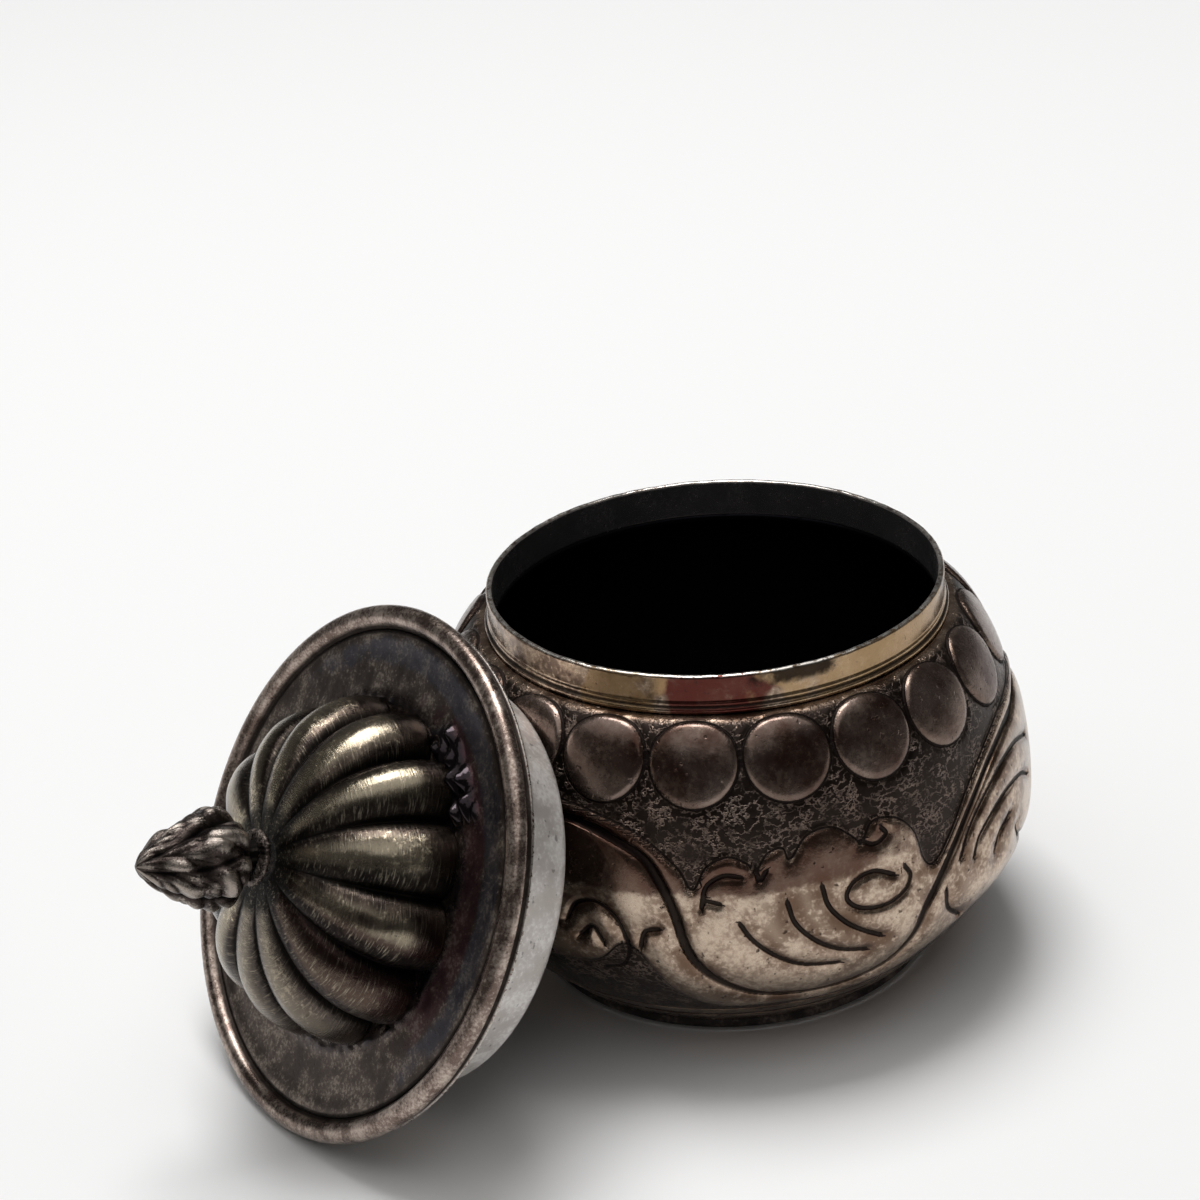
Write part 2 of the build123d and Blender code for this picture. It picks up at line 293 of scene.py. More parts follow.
# %% Distance to a line
def rounded(points, count=24):
    """A smooth line through the points, as a cubic that leaves each along its neighbours' chord."""
    points = np.array(points, dtype=float)
    padded = np.vstack([2 * points[0] - points[1], points, 2 * points[-1] - points[-2]])
    at = np.linspace(0, len(points) - 1 - 1e-9, count * (len(points) - 1) // 4)
    k, t = at.astype(int), (at % 1)[:, None]
    a, b, c, d = (padded[k + step] for step in range(4))
    return (2 * b + (c - a) * t + (2 * a - 5 * b + 4 * c - d) * t**2 + (3 * b - a - 3 * c + d) * t**3) / 2


def distance_to(lines, angle, run, radius):
    """Distance in millimetres to the nearest line, and the same with a minus sign on one side."""
    nearest = np.full(np.broadcast(angle, run).shape, 1e3)
    signed = nearest.copy()
    for line in lines:
        for shift in (-120, 0, 120):
            ends = np.stack([line[:, 0] + shift, up_the_wall(line[:, 1])], axis=-1)
            for (a0, s0), (a1, s1) in zip(ends[:-1], ends[1:]):
                px, py = np.radians(angle - a0) * radius, run - s0
                qx, qy = np.radians(a1 - a0) * radius, s1 - s0
                t = np.clip((px * qx + py * qy) / (qx**2 + qy**2), 0, 1)
                far = np.hypot(px - t * qx, py - t * qy)
                signed = np.where(far < nearest, np.where(px * qy < py * qx, -far, far), signed)
                nearest = np.minimum(nearest, far)
    return nearest, signed


# %% The wave's lines on the wall
wave_angle = np.linspace(-60, 60, wave_columns, endpoint=False)[None, :]
wall_run, wall_radius, wall_height = along[:, None], outline[:, :1], outline[:, 1:]
edges = [rounded(top_edge), rounded(low_edge)]
drawn = {"edge": edges, "groove": [rounded(wave_groove)], "stroke": [rounded(line) for line in strokes]}
line_far = {}
for kind, lines in drawn.items():
    both_ways = distance_to(lines, wave_angle, wall_run, wall_radius)
    line_far[kind] = [np.tile(far, (1, wave_count)) for far in both_ways]
print("wall points:", line_far["edge"][0].size)

# %% [markdown]
# The discs round the shoulder and the lines round the foot are plain enough for a formula each.

# %% The discs' and the foot's lines
disc_count, disc_radius, disc_place, disc_turn = 19, 4.25, 33.5, radians(1.5)
foot_lines = (4.9, 3.1)

pot_angle = np.radians(wave_turn - 60) + full_turn(wave_columns * wave_count)
disc_pitch = 2 * pi / disc_count
off_disc = (pot_angle - disc_turn + disc_pitch / 2) % disc_pitch - disc_pitch / 2
disc_far = np.hypot(off_disc * wall_radius, wall_run - up_the_wall(disc_place))
line_far["disc"] = [np.abs(disc_far - disc_radius), disc_far - disc_radius]
foot_far = np.minimum(*(np.abs(wall_height - line) for line in foot_lines)) + 0 * pot_angle
line_far["foot"] = [foot_far, foot_far]

# %% [markdown]
# ## The bowl's relief
# Heights are measured from the punched ground. The wave with its leaf fields and the discs are pushed out
# from it, and the lines are cut back in. The foot and the strip under the neck stay plain.

# %% The raised wave
wave_step, wave_cushion, cushion_reach, groove_depth = 0.38, 0.27, 1.5, 0.5

top_here, low_here = (np.interp(wave_angle, edge[:, 0], edge[:, 1]) for edge in edges)
inside = (wall_height < top_here) & (wall_height > low_here)
edge_far, groove_far, stroke_far = (line_far[kind][0] for kind in ("edge", "groove", "stroke"))
raised = smooth_step(np.where(np.tile(inside, (1, wave_count)), edge_far, -edge_far), -0.3, 0.55)
nearest_cut = np.minimum(np.minimum(edge_far, groove_far), stroke_far)
swell = 1 - notch(nearest_cut, cushion_reach)
cuts = np.maximum(notch(groove_far, 0.45), 0.7 * notch(stroke_far, 0.3)) * raised
relief = raised * (wave_step + wave_cushion * swell) - groove_depth * cuts

# %% The discs, the foot and the strip under the neck
disc_rise, disc_cut, foot_cut = 0.4, 0.16, 0.12

on_disc = smooth_step(disc_radius - disc_far, -0.1, 0.3)
disc_swell = 1 - (np.minimum(disc_far, disc_radius) / disc_radius) ** 2
relief = np.maximum(relief, on_disc * disc_rise * (0.7 + 0.3 * disc_swell))
relief = relief - disc_cut * notch(disc_far - disc_radius, 0.3)
near_neck = smooth_step(wall_run, along[-1] - 1.2, along[-1] - 0.3)
plain_foot = 1 - smooth_step(wall_height, 4.6, 5.4)
relief = relief * (1 - near_neck) - 0.05 * near_neck - foot_cut * notch(foot_far, 0.22)
relief = relief + 0.05 * ripple(pot_angle, wall_run * 0.2, seed=4) * smooth_step(wall_run, 0.0, 2.0)
print("relief from", round(relief.min(), 2), "to", round(relief.max(), 2), "mm")

# %% [markdown]
# ## The bowl's mesh
# The bowl is open at the neck, so one looks into it. Its inside is the same curve, one sheet further in and
# smooth, and both walls close into one skin at the lip and at the foot.

# %% Both walls
neck_step = 0.4
outer = outline[:, None, :] + sideways(outline)[:, None, :] * relief[..., None]
outer_rings = on_pot(outer[..., 0], pot_angle, outer[..., 1]) * MM
neck_bore = lip_radius - neck_step - wall_sheet
inner_line = even(bowl_line(200), 18)
inner_line = inner_line - wall_sheet * sideways(inner_line)
inner_line[-1] = (neck_bore, shoulder - wall_sheet)
inner_line[0, 1] = base_top
back = np.vstack([(neck_bore, shoulder), inner_line[::-1]])
inner_rings = on_pot(back[:, :1], pot_angle, back[:, 1:]) * MM


def on_outside(values, within=0.0):
    """Values for the bowl's outside, with one value for its inside."""
    rest = np.full((len(back), pot_angle.shape[1]), within)
    return np.vstack([np.broadcast_to(values, (bowl_rows, pot_angle.shape[1])), rest])


# %% [markdown]
# A chased line is thinner than the mesh is fine. So each point also keeps how far it lies from the nearest
# line, in half widths of that line and with a sign for its side, and the finish draws the line where that
# crosses 0. The tops of the leaves are darkened with a painted reflection of the dim room, most of all on
# the side that is seen here.

# %% The bowl
half_widths = {"edge": 0.1, "groove": 0.42, "stroke": 0.2, "disc": 0.13, "foot": 0.16}
beyond = 9.0

scaled = [[far / half for far in line_far[kind]] for kind, half in half_widths.items()]
nearest = np.min([near for near, side in scaled], axis=0)
signed = np.select([near == nearest for near, side in scaled], [side for near, side in scaled])
stippled = (1 - raised) * (1 - on_disc) * (1 - plain_foot) * (1 - near_neck)
# Painted reflection: above this wavy height the leaves are darkened, most of all on the side seen here.
dark_reflection_from = 21.0 + 1.3 * ripple(pot_angle, 0.0, seed=27)
from_front = np.abs((np.degrees(pot_angle) + 135 + 180) % 360 - 180)
most_dark_reflection = 0.35 + 0.65 * (1 - smooth_step(from_front, 30, 50))
bowl = new_piece("bowl", np.vstack([outer_rings, inner_rings]), marks={
    "high": on_outside(np.clip(relief / 0.65, 0, 1)),
    "ground": on_outside(stippled),
    "disc": on_outside(on_disc),
    # The mark "second" on the bowl carries that painted dark reflection.
    "second": on_outside(smooth_step(wall_height - dark_reflection_from, 0.0, 1.6) * raised * most_dark_reflection),
    "line": on_outside(np.clip(signed, -beyond, beyond), beyond),
    "near": on_outside(np.clip(nearest, 0, beyond), beyond),
    "inside": on_outside(0.0, 1.0)})

# %% [markdown]
# ## Turned pieces
# The neck, the base and the lid's plate, rim and flange are plain sections turned round an axis. A slight
# waviness keeps them from looking machined, a few hundredths of a millimetre, as on hand-filed sheet. Heat
# and handling have left patches of colour, so a piece may also keep values that say where they lie.

# %% Turned pieces
def turned(name, section, place, columns=240, wobble=0.0, seed=1, spacing=0.25, marks=None, closed=True):
    """A section (radius, height) in millimetres, turned round; unless closed, it runs from axis to axis."""
    run_length = lengths_along(np.vstack([section, section[:1]]))[-1]
    line = even(section, int(run_length / spacing), closed)
    turn = full_turn(columns)
    uneven = wobble * (ripple(turn, line[:, 1:] * 0.3, seed) - 1) / 2
    rings = place((line[:, :1] + uneven) * MM, turn, line[:, 1:] * MM)
    return new_piece(name, rings, closed, marks(line[:, :1], turn, line[:, 1:]) if marks else None)


def patch(turn, middle, reach, ragged=0.0, seed=3, height=0.0):
    """1 near the middle angle and 0 beyond its reach, in degrees, with a ragged border."""
    off = (np.degrees(turn) - middle + 180) % 360 - 180
    off = off + ragged * ripple(turn, height, seed, count=9, finest=40)
    return band(off, 0, reach * 0.5, reach * 1.3)


# %% [markdown]
# ## The neck
# The neck is an upright band, soldered into the bowl's lip, with a small bead where the two meet. Its edge
# was cut and filed by hand, so it dips a little here and there and shines. The rest of it is stained red,
# gold and black.

# %% The neck's section
neck_radius, neck_top = lip_radius - neck_step, pot_height / MM
neck_section = np.vstack([
    [(neck_bore, shoulder), (neck_bore - 0.02, neck_top - 0.2)],
    bezier([(neck_bore - 0.02, neck_top - 0.2), (neck_bore, neck_top + 0.04),
            (neck_radius - 0.14, neck_top + 0.04), (neck_radius - 0.1, neck_top - 0.25)], 8),
    [(neck_radius - 0.12, shoulder + 1.25)],
    bezier([(neck_radius - 0.1, shoulder + 1.2), (neck_radius + 0.1, shoulder + 1.15),
            (neck_radius + 0.1, shoulder + 0.8), (neck_radius - 0.02, shoulder + 0.72)], 6),
    bezier([(neck_radius - 0.02, shoulder + 0.68), (neck_radius + 0.42, shoulder + 0.65),
            (neck_radius + 0.42, shoulder + 0.1), (neck_radius + 0.1, shoulder)], 8)])


def neck_place(radius, turn, height):
    """The neck's top is a little uneven, lower in places by up to a quarter of a millimetre."""
    lift = smooth_step(height, (neck_top - 1.5) * MM, pot_height)
    long_dips = 0.06 * (1 - ripple(turn, 0.0, seed=8, count=9, finest=26))
    short_dips = 0.05 * (1 - ripple(turn, 0.0, seed=9, finest=90))
    return on_pot(radius, turn, height - lift * (long_dips + short_dips) * MM)


# %% The neck's stains
def neck_marks(radius, turn, height):
    """Red, gold and black patches, a black line over the bead, the bright edge and the dull bore."""
    def stain(middle, reach, ragged, seed):
        return patch(turn, middle, reach, ragged, seed, height)

    outside = smooth_step(radius, neck_bore + 0.15, neck_bore + 0.4)
    black = stain(-106, 11, 12, 10) * smooth_step(height, neck_top - 2.4, neck_top - 0.8)
    bead_line = band(height - shoulder, 0.7, 0.05, 0.22)
    return {
        "first": stain(-127, 15, 9, 6) * outside,
        "second": np.maximum(stain(-78, 36, 14, 7), stain(-150, 9, 9, 3)) * outside,
        "groove": np.maximum(black, bead_line) * outside,
        "edge": smooth_step(height, neck_top - 0.2, neck_top - 0.06),
        "bore": (1 - outside) * (1 - smooth_step(height, neck_top - 0.3, neck_top))}


neck = turned(
    "neck", neck_section, neck_place, columns=480, wobble=0.1, seed=5, spacing=0.16, marks=neck_marks)

# %% [markdown]
# ## The base
# The base is a flat disc under the bowl. Its section runs from the axis out to the edge and back, so the
# disc is closed in the middle, where a loop would leave a small hole. Its upper side is the floor that one
# sees in the pot.

# %% The base
base_radius = base_high[0] / MM
base_section = np.vstack([
    [(0.0, 0.0), (base_radius - 0.12, 0.0), (base_radius, 0.12), (base_radius, base_top - 0.5)],
    bezier([(base_radius, base_top - 0.5), (base_radius, base_top), (base_radius - 0.2, base_top),
            (base_radius - 0.5, base_top)], 8),
    [(0.0, base_top)]])


def base_marks(radius, turn, height):
    """The floor inside the pot is darkened."""
    return {"groove": 0.75 * smooth_step(height, base_top - 0.3, base_top - 0.1)}


base = turned("base", base_section, on_pot, columns=240, spacing=0.12, marks=base_marks, closed=False)

# %% [markdown]
# ## The lid's plate
# The plate is the lid's flat field, open under the dome. Solder holds the dome on it: a thin seam all
# round, and glossy black lumps on one side, where too much ran out. Heat from the flame left a purple and a
# blue bloom.

# %% The plate's section and its solder
plate_radius, plate_half, plate_bore = 23.4, 0.4, 12.8
seam_radius, spill_radius, purple_radius, blue_radius = 16.6, 17.5, 18.6, 21.3
plate_section = np.array([
    (plate_bore, -plate_half), (plate_radius - 0.05, -plate_half), (plate_radius - 0.05, plate_half - 0.1),
    (plate_radius - 0.9, plate_half - 0.02), (18.0, plate_half + 0.02), (plate_bore, plate_half)])


def solder(radius, turn):
    """How thickly solder lies, in millimetres: a thin seam, and lumps where it ran out."""
    seam = band(radius, seam_radius, 0.2, 1.3)
    spill = band(radius, spill_radius, 0.9, 2.2)
    spill = spill * patch(turn, -37, 17, ragged=8, seed=12, height=radius)
    lumps = np.hypot(ripple(turn * 4, radius * 1.2, seed=31, count=6, finest=11), 0.05)
    return seam * (0.1 + 0.3 * lumps) + spill * (0.2 + 1.7 * lumps)


# %% The plate
def plate_place(radius, turn, height):
    """The plate's field, a little dished by the hammer, with the solder on its upper side."""
    top = smooth_step(height, 0.0, 0.3 * MM)
    dent = 0.1 * ripple(turn, radius / MM * 0.35, seed=14, finest=7)
    inner = 1 - smooth_step(radius / MM, 21.0, 23.0)
    return on_lid(radius, turn, height + top * inner * (dent - 0.1 + solder(radius / MM, turn)) * MM)


def plate_marks(radius, turn, height):
    """A purple bloom beside the dome, a blue one outside it, the solder, and the dark groove at the rim."""
    return {
        "first": patch(turn, -68, 62, ragged=14, seed=15) * band(radius, purple_radius, 0.5, 2.6),
        "second": patch(turn, -40, 95, ragged=16, seed=16) * band(radius, blue_radius, 0.4, 2.2),
        "solder": np.clip(solder(radius, turn) * 4, 0, 1),
        "groove": 0.9 * smooth_step(radius, 22.7, 23.2)}


plate = turned("plate", plate_section, plate_place, columns=420, spacing=0.24, marks=plate_marks)

# %% [markdown]
# ## The rim and the flange
# The rim is a rounded moulding with a hollow under it. Dirt sits in the groove inside the moulding, and the
# hollow under it is darkened with painted shade. The flange is the sleeve that plugs into the neck. It tapers
# a little, so that it finds its way in.

# %% The rim
rim_radius, rim_drop = 25.8, 1.5
hollow_radius, lip_out = rim_radius - 0.75, rim_radius - 0.5
rim_section = np.vstack([
    [(plate_radius, -rim_drop + 0.1), (plate_radius, 0.2)],
    bezier([(plate_radius, 0.2), (plate_radius + 0.3, 0.15), (plate_radius + 0.3, 0.95),
            (plate_radius + 0.95, 1.1)], 8),
    bezier([(plate_radius + 0.95, 1.1), (plate_radius + 1.6, 1.2), (rim_radius, 1.0),
            (rim_radius, 0.0)], 12),
    bezier([(rim_radius, 0.0), (rim_radius, -0.35), (rim_radius - 0.7, -0.35), (hollow_radius, -0.7)], 8),
    bezier([(hollow_radius, -0.7), (hollow_radius, -1.1), (lip_out, -1.15), (lip_out, -1.4)], 8),
    [(rim_radius - 0.9, -rim_drop)]])


def rim_marks(radius, turn, height):
    """Dark in the groove inside the moulding, painted shade in the hollow under it, and bright on the lower
    edge.
    """
    inner = 1 - smooth_step(radius, plate_radius + 0.15, plate_radius + 0.5)
    # Painted shade: the hollow under the moulding is darkened through the groove mark.
    under = band(height, -0.68, 0.42, 0.56) * smooth_step(radius, rim_radius - 1.2, rim_radius - 0.9)
    return {
        "groove": np.clip(inner + 1.3 * under, 0, 1),
        "edge": smooth_step(-height, 1.12, 1.3)}


rim = turned("rim", rim_section, on_lid, columns=360, wobble=0.1, seed=11, spacing=0.15, marks=rim_marks)

# %% The flange
flange_top, flange_foot, flange_end, flange_sheet = 21.8, 20.0, -9.5, 0.7
flange_section = np.array([
    (flange_top, -plate_half), (flange_foot, flange_end + 0.1), (flange_foot - 0.1, flange_end),
    (flange_foot - 0.6, flange_end), (flange_foot - flange_sheet, flange_end + 0.1),
    (flange_top - flange_sheet, -plate_half)])
flange = turned("flange", flange_section, on_lid, columns=280, wobble=0.12, seed=17, spacing=0.4)

# %% [markdown]
# ## The dome's lobes
# The dome is raised with 13 lobes, like a melon. They were hammered up one by one, so their widths and
# heights differ. Separate lobes would have to be fitted to each other, so one surface carries them all:
# between two valleys a lobe's section is a round arch, and where two arches meet there is a sharp crease.

# %% The lobes
lobe_count, lobe_turn = 13, 4.5
draw = np.random.default_rng(41)
valleys = lobe_turn + np.arange(lobe_count) * 360 / lobe_count + draw.uniform(-1.6, 1.6, lobe_count)
lobe_size = draw.uniform(0.82, 1.08, lobe_count)


def lobe(share, power):
    """0 in a valley and 1 on a crown, as a round arch over a share of 0 to 1 between two valleys."""
    return np.clip(1.08 * (1 - (2 * share - 1) ** 2) - 0.08, 0, 1) ** power


dome_rows, dome_columns = 110, lobe_count * 52
dome_turn = full_turn(dome_columns)
ends = np.concatenate([valleys, valleys[:1] + 360])
after_first = (np.degrees(dome_turn) - ends[0]) % 360 + ends[0]
place_round = np.interp(after_first, ends, np.arange(lobe_count + 1.0))
lobe_share = place_round % 1
arch = lobe(lobe_share, 0.72)
size_here = lobe_size[np.minimum(place_round.astype(int), lobe_count - 1)]
print("lobes differ in size from", round(lobe_size.min(), 2), "to", round(lobe_size.max(), 2))

# %% [markdown]
# ## The dome
# Without its lobes the dome is about a quarter ellipse turned round the lid's axis: its radius goes with
# the cosine of the rise, its height with the sine. The lobes puff out of it, most at the foot, and fade
# under the finial. The dome is hollow, so its inner side follows one sheet further in.

# %% The dome's shell
dome_radius, dome_height, dome_crown = 14.6, 10.9, 2.2
lobe_puff, inner_step = 2.2, 6
rise = np.linspace(0, pi / 2, dome_rows)[:, None]
ring = dome_crown + (dome_radius - dome_crown) * np.cos(rise) ** 0.9
level = dome_height * np.sin(rise) ** 0.95
puff = arch * size_here * (lobe_puff * np.cos(rise) ** 0.55 + 0.12)
beaten = 0.07 * ripple(dome_turn * 3, rise * 9, seed=44, count=9, finest=14) * np.cos(rise) ** 0.5
dome_r = ring + puff * np.cos(rise * 0.85) + beaten
dome_w = level + puff * np.sin(rise) * 0.5 * (1 - np.sin(rise) ** 6)
dome_points = on_lid(dome_r * MM, dome_turn, (plate_half + dome_w * 0.96) * MM)
hollow = on_lid((dome_r - 1.2) * MM, dome_turn, (plate_half + dome_w * 0.88) * MM)[::-inner_step]


def on_shell(values):
    """Values for the dome's outside, and 0 for its hollow side."""
    return np.vstack([np.broadcast_to(values, dome_r.shape), np.zeros(hollow.shape[:2])])


# %% [markdown]
# Dirt fills the valleys and the ring under the finial. On the side towards the pot, the flanks that look
# down are darkened with painted shade through the same mark. Two stains lie on the lower lobes. The marks
# "up" and "round" number each lobe's surface, so that scratches can follow it.

# %% The dome
toe = 1 - smooth_step(rise, 0.1, 0.34)
valley_dirt = np.clip(1.32 - arch * 1.7, 0, 1)
crown_dirt = smooth_step(rise, 1.3, 1.46) * 0.9
flank_side = patch(dome_turn, -84, 66, ragged=6, seed=24, height=rise * 2)
# Painted shade: the lobes' downward flanks on the side towards the pot are darkened.
flank_painted_shade = smooth_step(0.52 - lobe_share, 0.0, 0.3) * flank_side * 0.8
dome = new_piece("dome", np.vstack([dome_points, hollow]), marks={
    "groove": on_shell(np.maximum(np.maximum(valley_dirt, crown_dirt), flank_painted_shade)),
    "high": on_shell(arch * (1 - 0.6 * toe)),
    "first": on_shell(patch(dome_turn, -114, 26, ragged=9, seed=21, height=rise * 3)),
    "second": on_shell(patch(dome_turn, -160, 36, ragged=12, seed=22, height=rise * 3)),
    "up": on_shell(rise * 8),
    "round": on_shell(place_round)})

# %% [markdown]
# ## The finial
# A rough ring, the calyx, sits on the dome's apex. It is a torus whose thickness wanders.

# %% The calyx
calyx_foot, calyx_radius = plate_half + dome_height, 2.0
calyx_turn = full_turn(160)
calyx_ring = full_turn(28).T
calyx_rough = 0.3 * np.abs(ripple(calyx_turn * 3, calyx_ring * 2, seed=23, count=9)) - 0.1
calyx_r = calyx_radius + (0.75 + calyx_rough) * np.cos(calyx_ring)
calyx_w = calyx_foot + 0.55 + (0.45 + calyx_rough) * np.sin(calyx_ring)
calyx = new_piece("calyx", on_lid(calyx_r * MM, calyx_turn, calyx_w * MM))

# %% [markdown]
# The bud is a pointed form with six leaves that turn slowly round it, each with veins and creases, on a
# short dark stem. It was cast, so it could be sculpted leaf by leaf. Here one outline is turned round, and
# the same arch that makes the dome's lobes swells it into leaves. It was knocked over a little, so its axis
# bends away from the lid's own.

# %% The bud's surface
bud_length, leaf_count, vein_count = 10.6, 6, 11
bud_outline = np.array([
    (1.3, -1.6), (1.2, -0.6), (1.7, 0.1), (3.4, 0.6), (4.3, 2.0), (4.4, 3.6), (3.8, 5.6), (2.6, 7.8),
    (1.3, 9.7), (0.4, 10.5), (0.0, 10.6)])
bud_line = even(rounded(bud_outline, 40), 150)
bud_line[-1, 0] = 0.0
bud_turn = full_turn(300)
bud_share = np.clip(bud_line[:, 1:] / bud_length, 0, 1)
leaf = lobe((bud_turn + 0.7 * bud_share) * leaf_count / (2 * pi) % 1, 0.8)
vein = lobe((bud_turn - 1.1 * bud_share) * vein_count / (2 * pi) % 1, 0.6)
leaf_fade = smooth_step(bud_share, 0.0, 0.1) * (1 - smooth_step(bud_share, 0.9, 1.0))
bumps = np.abs(ripple(bud_turn, bud_share * 11, seed=52, count=8, finest=8)) * 3
bud_r = bud_line[:, :1] * (1 + leaf_fade * (0.17 * leaf + 0.07 * vein * leaf - 0.16 + 0.1 * (bumps - 0.5)))
bud_w = bud_line[:, 1:] + 0.25 * leaf_fade * ripple(bud_turn, bud_share * 8, seed=53)

# %% The bud
stem_foot, stem_length, bud_lean = calyx_foot + 0.6, 3.0, radians(13)
bud_up = lid_up * cos(bud_lean) - lid_slope * sin(bud_lean)
bud_side = lid_slope * cos(bud_lean) + lid_up * sin(bud_lean)
bud_foot = lid_centre + lid_up * (stem_foot + stem_length / 2) * MM
spokes = bud_side * np.cos(bud_turn)[..., None] + lid_across * np.sin(bud_turn)[..., None]
bud_points = bud_foot + spokes * (bud_r * MM)[..., None] + bud_up * (bud_w * MM)[..., None]
creases = np.clip(1 - leaf * 1.3 + (0.4 - bumps) * 0.8, 0, 1) * leaf_fade
dark_stem = 1 - smooth_step(bud_share, 0.0, 0.06)
bud = new_piece("bud", bud_points, closed=False, marks={
    "groove": np.clip(creases + dark_stem, 0, 1), "high": leaf * (0.5 + bumps)})

# %% [markdown]
# ## Finishes
# Tarnished silver is dark and brownish where it is never touched, and worn pale on everything that stands
# out. A photograph laid over the piece could show that, but it would also carry its own light. So every
# finish is worked out from noise and from the marks on the mesh. `Wire` lets sums be written as plain
# expressions, and `Finish` adds any node by one method.

# %% Shader maths
class Wire:
    """One socket of a material, so that shader maths reads as plain expressions."""

    def __init__(self, tree, socket):
        self.tree, self.socket = tree, socket

    def maths(self, operation, other=0.0, swap=False):
        """A Math node on this wire and another wire or number; swap puts the other first."""
        node = self.tree.nodes.new("ShaderNodeMath")
        node.operation = operation
        for place, value in enumerate((other, self) if swap else (self, other)):
            plug(self.tree, node.inputs[place], value)
        return Wire(self.tree, node.outputs[0])

    def __add__(self, other):
        return self.maths("ADD", other)

    def __sub__(self, other):
        return self.maths("SUBTRACT", other)

    def __rsub__(self, other):
        return self.maths("SUBTRACT", other, swap=True)

    def __mul__(self, other):
        return self.maths("MULTIPLY", other)

    def __abs__(self):
        return self.maths("ABSOLUTE")

    __radd__ = __add__
    __rmul__ = __mul__


def plug(tree, socket, value):
    """Links a wire to a socket, or sets the socket's own value."""
    if isinstance(value, Wire):
        tree.links.new(value.socket, socket)
    else:
        socket.default_value = value


def rgba(colour):
    """A colour with its alpha, or the wire that brings one."""
    return colour if isinstance(colour, Wire) or len(colour) == 4 else (*colour, 1)


# %% Nodes
class Finish:
    """The nodes of a material, or of the room around, all made by one method."""

    def __init__(self, name, kept_in=bpy.data.materials):
        self.owner = kept_in.new(name)
        self.owner.use_nodes = True
        self.tree = self.owner.node_tree
        self.tree.nodes.clear()

    def node(self, kind, settings=None, sockets=None, out=0):
        """Adds a node: its settings first, then the values or wires of its sockets; returns one output."""
        node = self.tree.nodes.new("ShaderNode" + kind)
        for key, value in (settings or {}).items():
            if key == "stops":
                self.set_stops(node.color_ramp.elements, value)
            else:
                setattr(node, key, value)
        for key, value in (sockets or {}).items():
            plug(self.tree, node.inputs[key], value)
        return Wire(self.tree, node.outputs[out]) if node.outputs else None

    @staticmethod
    def set_stops(elements, stops):
        """Gives a ramp its stops as (position, colour)."""
        for _ in stops[2:]:
            elements.new(0.5)
        for stop, (position, colour) in zip(elements, stops):
            stop.position = position
            stop.color = colour

    def mix(self, factor, first, second):
        """Blends two colours."""
        return self.node("Mix", {"data_type": "RGBA"}, {0: factor, 6: rgba(first), 7: rgba(second)}, out=2)

    def noise(self, scale, detail=4, roughness=0.55, where=None):
        """Cloudy noise from 0 to 1, finer with a larger scale, on the piece's own coordinates."""
        sockets = {"Scale": scale, "Detail": detail, "Roughness": roughness}
        return self.node("TexNoise", None, {**sockets, "Vector": where or self.place()})

    def mark(self, label):
        """A value kept on the mesh's points."""
        return self.node("Attribute", {"attribute_name": label}, None, out=2)

    def steps(self, value, low, high):
        """0 at low, 1 at high, with a soft curve between; low may be the larger."""
        return self.node("MapRange", {"interpolation_type": "SMOOTHSTEP"}, {0: value, 1: low, 2: high})

    def place(self):
        """The piece's own coordinates."""
        return self.node("TexCoord", None, None, out=3)


# %% [markdown]
# ## Tarnished silver
# All finishes share one recipe. Two tones are mixed by a cloudy pattern, a third shows where the metal is
# rubbed bright, and up to two stains lie over them. Then come fine specks and small pits. Grooves are
# darker and duller, and cut edges and a bore are paler. The bump has the same clouds and pits, so colour
# and surface agree.

# %% Tarnished silver
cut_edge, bore_dull, bore_pale = (0.6, 0.57, 0.53), (0.4, 0.38, 0.39), (0.7, 0.67, 0.66)


def darker(colour, share):
    """The same colour with each part multiplied by the share."""
    return tuple(share * part for part in colour)


